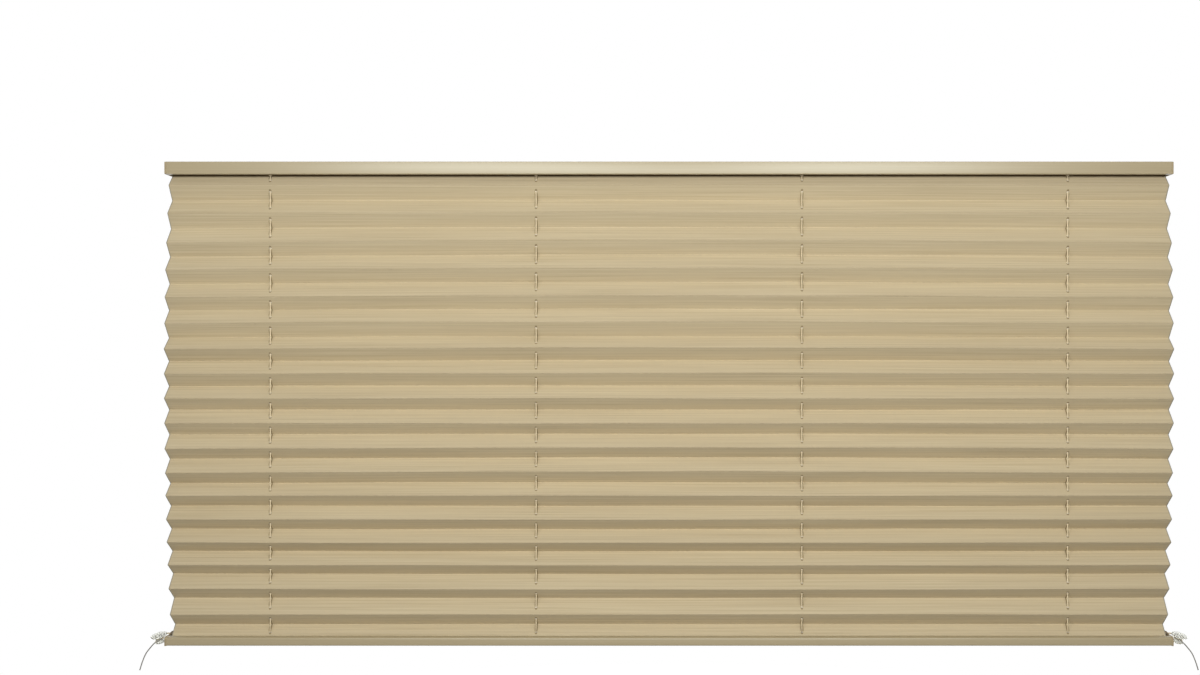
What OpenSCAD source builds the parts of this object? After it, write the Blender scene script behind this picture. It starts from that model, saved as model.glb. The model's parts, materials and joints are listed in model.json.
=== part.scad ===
// Pleated blind with spring-tensioned lift cords, hanging fully drawn.
// Millimetres. +X runs along the rails, -Y faces the room, +Z is up.
// The origin is the middle of the head rail's top face.

/* [Blind] */
// Width over the end caps
blind_w = 1270; // [900:10:1500]
// Height from the head rail's top to the bottom rail's underside
blind_h = 609.6; // [560:0.1:700]

/* [Rails] */
// Depth of both rails, front to back
rail_d = 30; // [28:0.5:40]
// Height of the head rail
head_h = 15.5; // [14:0.5:22]
// Height of the bottom rail
foot_h = 11.6; // [11:0.1:16]
// Wall of both rolled rails
wall = 1.2; // [0.8:0.1:1.6]
// Width of the slot that the fabric enters
slot_w = 14; // [12:0.5:16]
// Height of the bevel on the bottom rail's upper edges
foot_bevel = 2; // [0.6:0.1:2]
// Depth of that bevel, front to back
foot_slope = 2.8; // [1.2:0.1:2.8]
// Diameter of the fixing screws' holes in the head rail
screw_d = 4.5; // [3.5:0.1:6]
// Distance of a fixing screw from the blind's end
screw_inset = 75; // [30:1:200]

/* [End caps] */
// Thickness of the plate that closes a rail
cap_t = 2; // [1.2:0.1:3]
// Length of the plug that goes into the rail
cap_plug = 10; // [6:0.5:16]
// Room between a plug and the rail's inside
cap_fit = 0.2; // [0.1:0.05:0.4]
// Bevel on the head cap's corners
cap_bevel = 0.8; // [0.3:0.1:1.5]
// Height of the cord outlet above the bottom rail
outlet_h = 3.6; // [3:0.1:6]
// Length of the cord outlet along the rail
outlet_len = 5; // [3:0.5:8]
// Bore of the cord outlet
outlet_d = 3.8; // [3.4:0.1:4.4]

/* [Fabric] */
// Play between the cloth's side and the end cap
fabric_play = 0.5; // [0.2:0.1:2]
// Thickness of the cloth
fabric_t = 0.35; // [0.2:0.05:0.5]
// Length of one leaf, from fold to fold
leaf_len = 23.5; // [22:0.5:30]
// Part of the first fold that is tucked into the head rail
tuck_top = 4.9; // [2:0.1:8]
// Part of the last fold that is tucked into the bottom rail
tuck_foot = 1.5; // [0.5:0.1:3]
// Drop of the last leaf, from the last rear fold
end_drop = 13.2; // [10:0.1:18]
// Diameter of the punched cord holes
punch_d = 2.2; // [2:0.1:5]
// Width of the stiff strips that hold the cloth's ends
strip_w = 22; // [18:0.5:26]
// Thickness of the strips
strip_t = 1.2; // [0.8:0.1:1.6]
// Distance from the bottom rail's end to its strip's end
strip_cut = 33; // [28:1:40]
// Play between cloth, lips and strips
leaf_gap = 0.1; // [0.05:0.05:0.2]

/* [Cords] */
// Diameter of the lift cord
cord_d = 1.4; // [1:0.1:1.8]
// Distance of the outer cords from the blind's end
cord_inset = 129.5; // [100:0.5:180]
// Distance of the inner cords from the middle
cord_x_inner = 168.5; // [120:0.5:240]
// Place of the cords, front to back
cord_y = -1; // [-2:0.1:1]
// Bore of the cord guides
guide_bore = 2.2; // [2:0.1:2.6]
// Sleeve diameter of the cord guides
guide_sleeve = 4; // [3.4:0.1:5]
// Flange diameter of the cord guides
guide_flange = 7; // [6:0.1:8]
// Flange thickness of the cord guides
guide_rim = 1; // [0.6:0.1:1.4]
// Length of a guide's sleeve past its rail
guide_out = 1; // [0.5:0.1:2]

/* [Tension springs] */
// Length of a stretched spring
spring_len = 120; // [80:1:200]
// Mean radius of the coils
spring_r = 3; // [2.4:0.1:3.6]
// Mean radius of the drawn-in end coils
spring_end_r = 1.55; // [1.4:0.05:1.8]
// Wire diameter
spring_wire = 0.7; // [0.4:0.05:0.8]
// Number of coils
spring_turns = 18; // [10:1:20]
// Distance of the springs from the middle, front and back
spring_y = 6; // [4.5:0.1:8]

/* [Tie-down spools] */
// Radius of the upper flange
spool_top_r = 10; // [8:0.1:11]
// Radius of the lower flange
spool_low_r = 7; // [6:0.1:8]
// Radius of the waist that the cord is wound on
spool_waist_r = 4.5; // [3.6:0.1:5]
// Height of the waist
spool_waist_h = 6.8; // [6:0.1:9]
// Thickness of the upper flange at its rim
spool_top_t = 1.6; // [1.2:0.1:2.4]
// Thickness of the lower flange
spool_low_t = 1.6; // [1.2:0.1:2.4]
// Bore for the spool's own fixing screw
spool_bore = 4.2; // [3.6:0.1:5]
// Lean of a spool towards the room
spool_tilt = 15; // [0:1:25]
// Lean of a spool away from the rail
spool_lean = 10; // [0:1:15]

/* [Hidden] */
$fn = 48;
tan_metal = [0.80, 0.75, 0.60];
tan_plastic = [0.74, 0.68, 0.53];
cloth_tan = [0.76, 0.69, 0.54];
cord_grey = [0.66, 0.63, 0.56];
steel_grey = [0.62, 0.62, 0.64];
guide_white = [0.90, 0.89, 0.84];
strip_white = [0.86, 0.84, 0.78];
clear_plastic = [0.88, 0.90, 0.88];

rail_len = blind_w - 2 * cap_t;
half_d = rail_d / 2;
half_slot = slot_w / 2;
fabric_w = rail_len - 2 * fabric_play;
cord_x_outer = blind_w / 2 - cord_inset;
screw_x = blind_w / 2 - screw_inset;
cord_r = cord_d / 2;
eps = 0.01;

// Levels in the head rail, from its lips upwards
head_lip = -head_h + wall;
top_leaf_z = head_lip + leaf_gap + fabric_t / 2;
top_strip_z = head_lip + 2 * leaf_gap + fabric_t;
top_rim_z = top_strip_z + strip_t;
head_plug_z = top_rim_z + guide_rim + cap_fit;

// Levels in the bottom rail, from its lips downwards
foot_z = -blind_h;
foot_top = foot_z + foot_h;
foot_lip = foot_top - wall;
low_leaf_z = foot_lip - leaf_gap - fabric_t / 2;
low_strip_z = foot_lip - 2 * leaf_gap - fabric_t - strip_t;
low_rim_z = low_strip_z - guide_rim;
foot_plug_z = low_strip_z - cap_fit;

// How far each pleat drops as the cloth hangs, from the top down, before it is
// fitted between the rails: the folds are pulled open most at the top
pleat_drop = [36, 36, 36, 34, 34, 35, 29.5, 31.5, 30.5, 31.5, 31, 31, 29, 29, 28, 29, 31, 33.5];
pleats = len(pleat_drop);
function sum_to(list, n) = n <= 0 ? 0 : list[n - 1] + sum_to(list, n - 1);
hang_top = -head_h + tuck_top;
hang_end = foot_top - tuck_foot;
hang_fit = (hang_top - hang_end) / (sum_to(pleat_drop, pleats) + end_drop);
function half_drop(k) = hang_fit * pleat_drop[k] / 2;
function valley_z(k) = hang_top - hang_fit * sum_to(pleat_drop, k);
function pleat_depth(k) = sqrt(leaf_len * leaf_len - half_drop(k) * half_drop(k));
function ridge(k) = [-pleat_depth(k) / 2, valley_z(k) - half_drop(k)];
function valley(k) = [(pleat_depth(k - 1) + pleat_depth(min(k, pleats - 1))) / 4, valley_z(k)];
// The cloth turns at the slot's edge, a little clear of the lip
turn_y = half_slot - 0.5 - fabric_t;
strip_edge = strip_w / 2;
cloth_line = concat(
    [[-strip_edge, top_leaf_z], [turn_y, top_leaf_z]],
    [for (k = [0:pleats - 1], i = [0:1]) i == 0 ? ridge(k) : valley(k + 1)],
    [[-turn_y, low_leaf_z], [strip_edge, low_leaf_z]]
);

// A band of even thickness along a bent line, mitred at each bend
function unit(v) = v / norm(v);
function left_of(v) = [-v[1], v[0]];
function bend_side(line, i, off) =
    let (last = len(line) - 1)
    let (a = left_of(unit(line[max(i, 1)] - line[max(i, 1) - 1])))
    let (b = left_of(unit(line[min(i, last - 1) + 1] - line[min(i, last - 1)])))
    line[i] + off * (a + b) / (1 + a * b);
function band(line, t) = concat(
    [for (i = [0:len(line) - 1]) bend_side(line, i, t / 2)],
    [for (i = [len(line) - 1:-1:0]) bend_side(line, i, -t / 2)]
);

// A round tube along a route in space, with one radius for each of its points
function headings(p) = [for (i = [0:len(p) - 1]) unit(p[min(i + 1, len(p) - 1)] - p[max(i - 1, 0)])];
function curve(p1, p2, m1, m2, t) =
    let (s = 1 - t)
    s * s * (1 + 2 * t) * p1 + t * t * (3 - 2 * t) * p2 + norm(p2 - p1) * s * t * (s * m1 - t * m2);
function eased(p, n) = let (m = headings(p)) concat(
    [for (i = [0:len(p) - 2], k = [0:n - 1]) curve(p[i], p[i + 1], m[i], m[i + 1], k / n)],
    [p[len(p) - 1]]
);
function square_to(n, t) = unit(n - (n * t) * t);
function carried(t, seed) = [
    for (i = 0, n = square_to(seed, t[0]); i < len(t); i = i + 1, n = i < len(t) ? square_to(n, t[i]) : n) n
];
module tube(p, radii, seed, sides = 8) {
    t = headings(p);
    n = carried(t, seed);
    rows = len(p);
    points = [for (i = [0:rows - 1], k = [0:sides - 1])
        p[i] + radii[i] * (cos(360 * k / sides) * n[i] + sin(360 * k / sides) * cross(t[i], n[i]))];
    walls = [for (i = [0:rows - 2], k = [0:sides - 1], half = [0:1])
        let (a = i * sides + k)
        let (b = i * sides + (k + 1) % sides)
        half == 0 ? [a, a + sides, b] : [b, a + sides, b + sides]];
    ends = [[for (k = [0:sides - 1]) k], [for (k = [sides - 1:-1:0]) (rows - 1) * sides + k]];
    polyhedron(points, concat(walls, ends), convexity = 6);
}
module cord(p, seed) {
    color(cord_grey) tube(p, [for (i = p) cord_r], seed);
}
module pair_side(side) {
    mirror([side < 0 ? 1 : 0, 0, 0]) children();
}

// Profiles are drawn front to back and upwards, and run along X
module along(length) {
    rotate([90, 0, 90]) linear_extrude(length, center = true, convexity = 8) children();
}

// Head rail: a rolled channel, open downwards between two lips
module head_profile() {
    difference() {
        translate([-half_d, -head_h]) square([rail_d, head_h]);
        translate([-half_d + wall, head_lip]) square([rail_d - 2 * wall, head_h - 2 * wall]);
        translate([-half_slot, -head_h - 1]) square([slot_w, wall + 2]);
    }
}
module head_rail() {
    color(tan_metal) difference() {
        along(rail_len) head_profile();
        for (side = [-1, 1])
            translate([side * screw_x, 0, -wall - 1]) cylinder(d = screw_d, h = wall + 2);
    }
}

// Head rail's end cap: a bevelled plate with a plug above the fabric strip
module head_cap_outline() {
    polygon([
        [-half_d, -cap_bevel], [-half_d + cap_bevel, 0], [half_d - cap_bevel, 0], [half_d, -cap_bevel],
        [half_d, -head_h + cap_bevel], [half_d - cap_bevel, -head_h],
        [-half_d + cap_bevel, -head_h], [-half_d, -head_h + cap_bevel]
    ]);
}
module head_cap(side) {
    plug_w = rail_d - 2 * wall - 2 * cap_fit;
    plug_h = -wall - cap_fit - head_plug_z;
    color(tan_plastic) pair_side(side) union() {
        translate([blind_w / 2 - cap_t / 2, 0, 0]) along(cap_t) head_cap_outline();
        difference() {
            translate([rail_len / 2 - cap_plug, -plug_w / 2, head_plug_z]) cube([cap_plug + eps, plug_w, plug_h]);
            translate([rail_len / 2 - cap_plug - 1, -plug_w / 2 + wall, head_plug_z + wall])
                cube([cap_plug + 1, plug_w - 2 * wall, plug_h - 2 * wall]);
        }
    }
}
module head_rail_end_cap_left() { head_cap(-1); }
module head_rail_end_cap_right() { head_cap(1); }

// Bottom rail: a rolled channel, open upwards, with bevelled upper edges
module foot_outline() {
    polygon([
        [-half_d, foot_z], [half_d, foot_z], [half_d, foot_top - foot_bevel],
        [half_d - foot_slope, foot_top], [-half_d + foot_slope, foot_top], [-half_d, foot_top - foot_bevel]
    ]);
}
module foot_hollow() {
    polygon([
        [-half_d + wall, foot_z + wall], [half_d - wall, foot_z + wall], [half_d - wall, foot_lip - foot_bevel],
        [half_d - wall - foot_slope, foot_lip], [-half_d + wall + foot_slope, foot_lip],
        [-half_d + wall, foot_lip - foot_bevel]
    ]);
}
module bottom_rail() {
    color(tan_metal) along(rail_len) difference() {
        foot_outline();
        foot_hollow();
        translate([-half_slot, foot_lip - 1]) square([slot_w, wall + 2]);
    }
}

// Bottom rail's end cap: a plate, a plug under the strip, and the raised outlet
// that both cords of this end leave through
outlet_y = 4.5;
outlet_z = foot_top + outlet_h - outlet_d / 2 - 0.8;
module outlet_outline() {
    polygon([
        [outlet_y - 3.4, foot_top - cap_t], [outlet_y - 3.4, foot_top], [outlet_y - 2, foot_top + outlet_h],
        [outlet_y + 2, foot_top + outlet_h], [outlet_y + 3.4, foot_top], [outlet_y + 3.4, foot_top - cap_t]
    ]);
}
module foot_cap(side) {
    plug_w = rail_d - 2 * wall - 2 * cap_fit;
    plug_z = foot_z + wall + cap_fit;
    color(tan_plastic) pair_side(side) difference() {
        union() {
            translate([blind_w / 2 - cap_t / 2, 0, 0]) along(cap_t) foot_outline();
            translate([rail_len / 2 - cap_plug, -plug_w / 2, plug_z])
                cube([cap_plug + eps, plug_w, foot_plug_z - plug_z]);
            intersection() {
                translate([blind_w / 2 - outlet_len / 2, 0, 0]) along(outlet_len) outlet_outline();
                translate([0, -rail_d, foot_top]) cube([blind_w, 2 * rail_d, 2 * outlet_h]);
            }
            translate([blind_w / 2 - cap_t / 2, 0, 0]) along(cap_t) outlet_outline();
        }
        translate([blind_w / 2 - outlet_len - 1, outlet_y, outlet_z]) rotate([0, 90, 0])
            cylinder(d = outlet_d, h = outlet_len + 2);
    }
}
module bottom_rail_end_cap_left() { foot_cap(-1); }
module bottom_rail_end_cap_right() { foot_cap(1); }

// Pleated cloth: one sheet whose end leaves lie in the rails, with a punched
// line of holes for each cord
module pleated_fabric() {
    color(cloth_tan) difference() {
        along(fabric_w) polygon(band(cloth_line, fabric_t));
        for (x = cord_lines) {
            translate([x, cord_y, foot_top - tuck_foot]) cylinder(d = punch_d, h = blind_h - head_h, $fn = 8);
            translate([x, cord_y, top_leaf_z - 1]) cylinder(d = guide_sleeve + 0.8, h = 2, $fn = 8);
            translate([x, cord_y, low_leaf_z - 1]) cylinder(d = guide_sleeve + 0.8, h = 2, $fn = 8);
        }
        for (side = [-1, 1])
            translate([side * (rail_len / 2 - strip_cut + blind_w / 2), 0, foot_lip - foot_h / 2])
                cube([blind_w, rail_d, foot_h + wall], center = true);
    }
}

// Stiff strips that slide in the rails and keep the cloth's end leaves there
module strip(length, z) {
    color(strip_white) difference() {
        translate([-length / 2, -strip_edge, z]) cube([length, strip_w, strip_t]);
        for (x = cord_lines)
            translate([x, cord_y, z - 1]) cylinder(d = guide_sleeve + 2 * leaf_gap, h = strip_t + 2);
    }
}
module top_fabric_strip() { strip(rail_len - 1, top_strip_z); }
module bottom_fabric_strip() { strip(rail_len - 2 * strip_cut, low_strip_z); }

// Cord guides: turned ferrules, the flange inside the rail and the sleeve outside
cord_lines = [-cord_x_outer, -cord_x_inner, cord_x_inner, cord_x_outer];
head_exit_z = -head_h - guide_out;
foot_entry_z = foot_top + guide_out;
module guide(sleeve_len) {
    mouth = 0.3;
    color(guide_white) rotate_extrude() polygon([
        [guide_bore / 2, -sleeve_len], [guide_sleeve / 2, -sleeve_len], [guide_sleeve / 2, 0],
        [guide_flange / 2, 0], [guide_flange / 2, guide_rim - mouth], [guide_flange / 2 - mouth, guide_rim],
        [guide_bore / 2 + mouth, guide_rim], [guide_bore / 2, guide_rim - mouth]
    ]);
}
module head_guide(i) { translate([cord_lines[i], cord_y, top_rim_z]) guide(top_rim_z - head_exit_z); }
module foot_guide(i) {
    translate([cord_lines[i], cord_y, low_strip_z]) rotate([180, 0, 0]) guide(foot_entry_z - low_strip_z);
}
module head_cord_guide_1() { head_guide(0); }
module head_cord_guide_2() { head_guide(1); }
module head_cord_guide_3() { head_guide(2); }
module head_cord_guide_4() { head_guide(3); }
module bottom_cord_guide_1() { foot_guide(0); }
module bottom_cord_guide_2() { foot_guide(1); }
module bottom_cord_guide_3() { foot_guide(2); }
module bottom_cord_guide_4() { foot_guide(3); }

// Tension springs: the end coils are drawn in, and a knot inside holds the cord
spring_z = (top_rim_z + guide_rim - wall) / 2;
coil_steps = 10;
module spring(y) {
    steps = spring_turns * coil_steps;
    drawn = 2 * coil_steps;
    function coil_r(i) = spring_end_r + (spring_r - spring_end_r) * min(1, i / drawn, (steps - i) / drawn);
    p = [for (i = [0:steps])
        let (a = 360 * i / coil_steps)
        [spring_len * (i / steps - 0.5), y + coil_r(i) * cos(a), spring_z + coil_r(i) * sin(a)]];
    color(steel_grey) tube(p, [for (i = p) spring_wire / 2], [1, 0, 0], 6);
}
module tension_spring_outer() { spring(-spring_y); }
module tension_spring_inner() { spring(spring_y); }

// Cords in the head rail: up through a guide, along the rail and into a spring
bend = 3;
module head_cord(x, y) {
    rise = guide_rim + top_rim_z;
    knot = spring_len / 2 - 5;
    bent = eased([
        [x, cord_y, head_exit_z], [x, cord_y, rise], [x - bend / 2, cord_y, spring_z - bend / 4],
        [x - 2 * bend, cord_y, spring_z], [x - 12 * bend, y, spring_z], [spring_len / 2 + 6, y, spring_z]
    ], 3);
    tied = [for (step = [1.5, 0.5, 0, -1, -2.5, -3.5]) [knot + step, y, spring_z]];
    radii = concat([for (i = bent) cord_r], [1, 1, 2.1, 2.6, 2.1, 0.8] * cord_r);
    color(cord_grey) tube(concat(bent, tied), radii, [0.2, 1, 0]);
}
module head_cord_1() { pair_side(-1) head_cord(cord_x_outer, -spring_y); }
module head_cord_2() { pair_side(-1) head_cord(cord_x_inner, spring_y); }
module head_cord_3() { head_cord(cord_x_inner, spring_y); }
module head_cord_4() { head_cord(cord_x_outer, -spring_y); }

// The straight run of each cord through the pleats
cord_break = 0.1;
module lift_cord(i) {
    low = foot_entry_z + cord_break;
    high = head_exit_z - cord_break;
    cord([for (z = [low, (low + high) / 2, high]) [cord_lines[i], cord_y, z]], [1, 0, 0]);
}
module lift_cord_1() { lift_cord(0); }
module lift_cord_2() { lift_cord(1); }
module lift_cord_3() { lift_cord(2); }
module lift_cord_4() { lift_cord(3); }

// Spool: a turned bobbin with a domed upper flange, pulled up against the cap
spool_y = -9;
spool_x = blind_w / 2 + spool_low_r + 1;
spool_z = foot_z + 8.6;
module spool(side) {
    low = -spool_waist_h / 2;
    high = spool_waist_h / 2;
    dome = 0.8;
    color(clear_plastic) pair_side(side) translate([spool_x, spool_y, spool_z])
        rotate([spool_tilt, spool_lean, 0]) rotate_extrude() polygon([
            [spool_bore / 2, low - spool_low_t], [spool_low_r - 0.4, low - spool_low_t],
            [spool_low_r, low - spool_low_t + 0.4], [spool_low_r, low - 0.4], [spool_low_r - 0.4, low],
            [spool_waist_r, low], [spool_waist_r, high], [spool_top_r - 0.4, high],
            [spool_top_r, high + 0.4], [spool_top_r, high + spool_top_t - 0.4],
            [spool_top_r - 0.6, high + spool_top_t], [spool_top_r * 0.6, high + spool_top_t + dome * 0.7],
            [spool_bore / 2 + 1.6, high + spool_top_t + dome], [spool_bore / 2, high + spool_top_t]
        ]);
}
module tie_down_spool_left() { spool(-1); }
module tie_down_spool_right() { spool(1); }

// A point given round a spool's axis: radius, angle from straight outwards, height
function round_spool(r, a, h) =
    let (across = r * cos(a), back = r * sin(a))
    let (y = back * cos(spool_tilt) - h * sin(spool_tilt), z = back * sin(spool_tilt) + h * cos(spool_tilt))
    [spool_x + across * cos(spool_lean) + z * sin(spool_lean), spool_y + y,
     spool_z - across * sin(spool_lean) + z * cos(spool_lean)];
wind_step = 30;
wind_r = (spool_waist_r + cord_r + 0.05) / cos(wind_step / 2);
wind_high = spool_waist_h / 2 - cord_r - 0.2;
wind_low = -spool_waist_h / 2 + cord_r + 0.2;

// Cords in the bottom rail: down through a guide and along the rail to the outlet
side_gap = 0.8;
run_z = (foot_z + wall + low_rim_z) / 2;
function foot_start(x) = [
    [x, cord_y, foot_entry_z], [x, cord_y, low_rim_z], [x + bend / 2, cord_y, run_z + bend / 4],
    [x + 2 * bend, cord_y, run_z]
];
function foot_end(y) = [
    [rail_len / 2 - strip_cut + 3, y, run_z], [rail_len / 2 - cap_plug - 4, y, foot_plug_z + cord_d],
    [blind_w / 2 - outlet_len - 1, y, outlet_z], [blind_w / 2, y, outlet_z]
];
// An outer cord ends wound on the spool's waist
module outer_foot_cord() {
    y = outlet_y + side_gap;
    inside = eased(concat(foot_start(cord_x_outer), [[cord_x_outer + 50, y, run_z]], foot_end(y)), 3);
    wound = eased(concat(
        [[blind_w / 2 + 2.5, y - 0.2, outlet_z], [blind_w / 2 + 5, y - 3.5, outlet_z]],
        [round_spool(wind_r + 2.8, 100, wind_low + 1.9), round_spool(wind_r + 1.4, 80, wind_low + 0.8)],
        [for (a = [60:-25:-40]) round_spool(wind_r, a, wind_low)]
    ), 2);
    cord(concat(inside, wound), [0.2, 1, 0]);
}
// An inner cord keeps to the front until it is past the outer guide
module inner_foot_cord() {
    y = outlet_y - side_gap;
    front = -6;
    along_front = [[cord_x_inner + 12 * bend, front, run_z], [cord_x_outer + 15, front, run_z]];
    cord(eased(concat(foot_start(cord_x_inner), along_front, foot_end(y)), 3), [0.2, 1, 0]);
}
module bottom_cord_1() { pair_side(-1) outer_foot_cord(); }
module bottom_cord_2() { pair_side(-1) inner_foot_cord(); }
module bottom_cord_3() { inner_foot_cord(); }
module bottom_cord_4() { outer_foot_cord(); }

// Free end of an inner cord: from the outlet, round the spool, then a loose tail
// The tail's points are measured from the middle of its spool
tail_points = [for (step = [
    [-1, -6.3, -1.5], [3, -8.3, -4], [9, -8, -10.5], [14.5, -7, -17.5], [19.5, -5.5, -28], [23.5, -4, -39]
]) [spool_x, spool_y, spool_z] + step];
module spool_cord() {
    y = outlet_y - side_gap;
    link = eased([
        [blind_w / 2 + cord_break, y, outlet_z], [blind_w / 2 + 1.3, y - 0.3, outlet_z],
        [blind_w / 2 + 2.3, y - 2.7, outlet_z],
        [blind_w / 2 + 2.8, y - 7, outlet_z + 0.1], round_spool(wind_r, 165, wind_high)
    ], 2);
    wound = [for (a = [195:wind_step:590]) round_spool(wind_r, a, wind_high - (a - 165) / 180)];
    cord(concat(link, wound, eased(tail_points, 3)), [0, 0, 1]);
}
module spool_cord_left() { pair_side(-1) spool_cord(); }
module spool_cord_right() { spool_cord(); }

head_rail();
head_rail_end_cap_left();
head_rail_end_cap_right();
top_fabric_strip();
head_cord_guide_1();
head_cord_guide_2();
head_cord_guide_3();
head_cord_guide_4();
head_cord_1();
head_cord_2();
head_cord_3();
head_cord_4();
tension_spring_outer();
tension_spring_inner();
pleated_fabric();
lift_cord_1();
lift_cord_2();
lift_cord_3();
lift_cord_4();
bottom_rail();
bottom_rail_end_cap_left();
bottom_rail_end_cap_right();
bottom_fabric_strip();
bottom_cord_guide_1();
bottom_cord_guide_2();
bottom_cord_guide_3();
bottom_cord_guide_4();
bottom_cord_1();
bottom_cord_2();
bottom_cord_3();
bottom_cord_4();
tie_down_spool_left();
tie_down_spool_right();
spool_cord_left();
spool_cord_right();
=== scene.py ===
"""Looks of a pleated blind: one folded cloth between two slim rails, drawn down.

Metres, in the frame of the solids: +X along the rails, -Y to the room, +Z up,
with the origin in the middle of the head rail's top face.
"""
import json
import math

import bpy
from mathutils import Matrix, Vector


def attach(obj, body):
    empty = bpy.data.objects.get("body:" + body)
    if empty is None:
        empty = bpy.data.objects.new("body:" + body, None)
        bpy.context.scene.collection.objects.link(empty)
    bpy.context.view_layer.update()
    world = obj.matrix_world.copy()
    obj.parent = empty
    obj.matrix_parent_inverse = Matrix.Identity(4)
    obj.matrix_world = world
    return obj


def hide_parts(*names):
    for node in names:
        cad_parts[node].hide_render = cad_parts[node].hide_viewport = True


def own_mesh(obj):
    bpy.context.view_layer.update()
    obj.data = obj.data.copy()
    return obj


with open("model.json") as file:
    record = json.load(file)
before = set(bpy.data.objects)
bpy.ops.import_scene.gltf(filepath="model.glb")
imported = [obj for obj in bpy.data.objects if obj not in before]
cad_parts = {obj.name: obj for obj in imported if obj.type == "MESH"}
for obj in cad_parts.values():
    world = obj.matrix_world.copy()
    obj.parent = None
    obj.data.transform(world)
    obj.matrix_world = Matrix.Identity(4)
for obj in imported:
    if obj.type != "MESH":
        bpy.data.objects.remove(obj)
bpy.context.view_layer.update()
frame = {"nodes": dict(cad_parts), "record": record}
scene = bpy.context.scene

# ---------------------------------------------------------------- sizes

BLIND_W = 1.270
BLIND_H = 0.6096
RAIL_D = 0.030
HEAD_H = 0.0155
FOOT_H = 0.0116
WALL = 0.0012
SLOT_W = 0.014
FOOT_BEVEL = 0.0020
FOOT_SLOPE = 0.0028
SCREW_D = 0.0045
SCREW_INSET = 0.075
CAP_T = 0.002
CAP_PLUG = 0.010
CAP_FIT = 0.0002
CAP_BEVEL = 0.0008
OUTLET_H = 0.0036
OUTLET_LEN = 0.005
OUTLET_D = 0.0038
OUTLET_Y = 0.0045
OUTLET_ROOF = 0.0008
OUTLET_ROOT_W = 0.0068
OUTLET_CREST_W = 0.004
CLOTH_PLAY = 0.0005
CLOTH_T = 0.00035
LEAF = 0.0235
LEAF_GAP = 0.0001
TUCK_TOP = 0.0049
TUCK_FOOT = 0.0015
SLOT_PLAY = 0.0005
STRIP_W = 0.022
STRIP_T = 0.0012
STRIP_CUT = 0.033
PUNCH_D = 0.0022
CORD_D = 0.0014
CORD_Y = -0.001
CORD_LINES = (-0.5055, -0.1685, 0.1685, 0.5055)
GUIDE_RIM = 0.001
GUIDE_OUT = 0.001
GUIDE_HOLE = 0.0048
SPOOL_AT = Vector((0.643, -0.009, -0.601))
SPOOL_TILT = math.radians(15)
SPOOL_LEAN = math.radians(10)

RAIL_LEN = BLIND_W - 2 * CAP_T
HALF_D = RAIL_D / 2
HALF_SLOT = SLOT_W / 2
STRIP_EDGE = STRIP_W / 2
CLOTH_W = RAIL_LEN - 2 * CLOTH_PLAY
TOP_LEAF_Z = -HEAD_H + WALL + LEAF_GAP + CLOTH_T / 2
TOP_RIM_Z = -HEAD_H + WALL + 2 * LEAF_GAP + CLOTH_T + STRIP_T
HEAD_EXIT_Z = -HEAD_H - GUIDE_OUT
FOOT_Z = -BLIND_H
FOOT_TOP = FOOT_Z + FOOT_H
FOOT_LIP = FOOT_TOP - WALL
LOW_LEAF_Z = FOOT_LIP - LEAF_GAP - CLOTH_T / 2
LOW_STRIP_Z = FOOT_LIP - 2 * LEAF_GAP - CLOTH_T - STRIP_T
LOW_RIM_Z = LOW_STRIP_Z - GUIDE_RIM
FOOT_ENTRY_Z = FOOT_TOP + GUIDE_OUT
OUTLET_Z = FOOT_TOP + OUTLET_H - OUTLET_D / 2 - OUTLET_ROOF
RUN_Z = (FOOT_Z + WALL + LOW_RIM_Z) / 2

# ---------------------------------------------------------------- camera

camera_data = bpy.data.cameras.new("camera")
camera_data.sensor_width = 36.0
camera_data.lens = 40.54
camera_data.shift_x = -0.0575
camera_data.shift_y = 0.02315
camera = bpy.data.objects.new("camera", camera_data)
camera.location = (0.0, -1.715, -0.2563)
camera.rotation_euler = (math.radians(90), 0.0, 0.0)
scene.collection.objects.link(camera)
scene.camera = camera


# ---------------------------------------------------------------- materials

def new_finish(name, roughness, specular=0.5):
    """A Principled material, with its nodes, links and shader."""
    finish = bpy.data.materials.new(name)
    finish.use_nodes = True
    shader = finish.node_tree.nodes["Principled BSDF"]
    shader.inputs["Roughness"].default_value = roughness
    shader.inputs["Specular IOR Level"].default_value = specular
    return finish, finish.node_tree.nodes, finish.node_tree.links, shader


def add(nodes, kind, **settings):
    node = nodes.new(kind)
    for key, value in settings.items():
        setattr(node, key, value)
    return node


def on_object(nodes):
    """Object coordinates."""
    return nodes.new("ShaderNodeTexCoord").outputs["Object"]


def marked(nodes, name):
    """The value of one of the mesh's own attributes."""
    return add(nodes, "ShaderNodeAttribute", attribute_name=name).outputs["Fac"]


def mapped(nodes, links, source, scale):
    """Coordinates from a socket, stretched by a Mapping node."""
    mapping = add(nodes, "ShaderNodeMapping")
    mapping.inputs["Scale"].default_value = scale
    links.new(source, mapping.inputs["Vector"])
    return mapping.outputs["Vector"]


def noise(nodes, links, vector, scale=1.0, detail=3.0, roughness=0.5):
    texture = add(nodes, "ShaderNodeTexNoise")
    texture.inputs["Scale"].default_value = scale
    texture.inputs["Detail"].default_value = detail
    texture.inputs["Roughness"].default_value = roughness
    links.new(vector, texture.inputs["Vector"])
    return texture.outputs["Fac"]


def graded(nodes, links, factor, stops):
    """A colour ramp over a factor: stops are (position, colour)."""
    ramp = add(nodes, "ShaderNodeValToRGB")
    keys = ramp.color_ramp.elements
    while len(keys) < len(stops):
        keys.new(0.5)
    for key, (position, colour) in zip(keys, stops):
        key.position = position
        key.color = (*colour, 1.0)
    links.new(factor, ramp.inputs["Fac"])
    return ramp.outputs["Color"]


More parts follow.
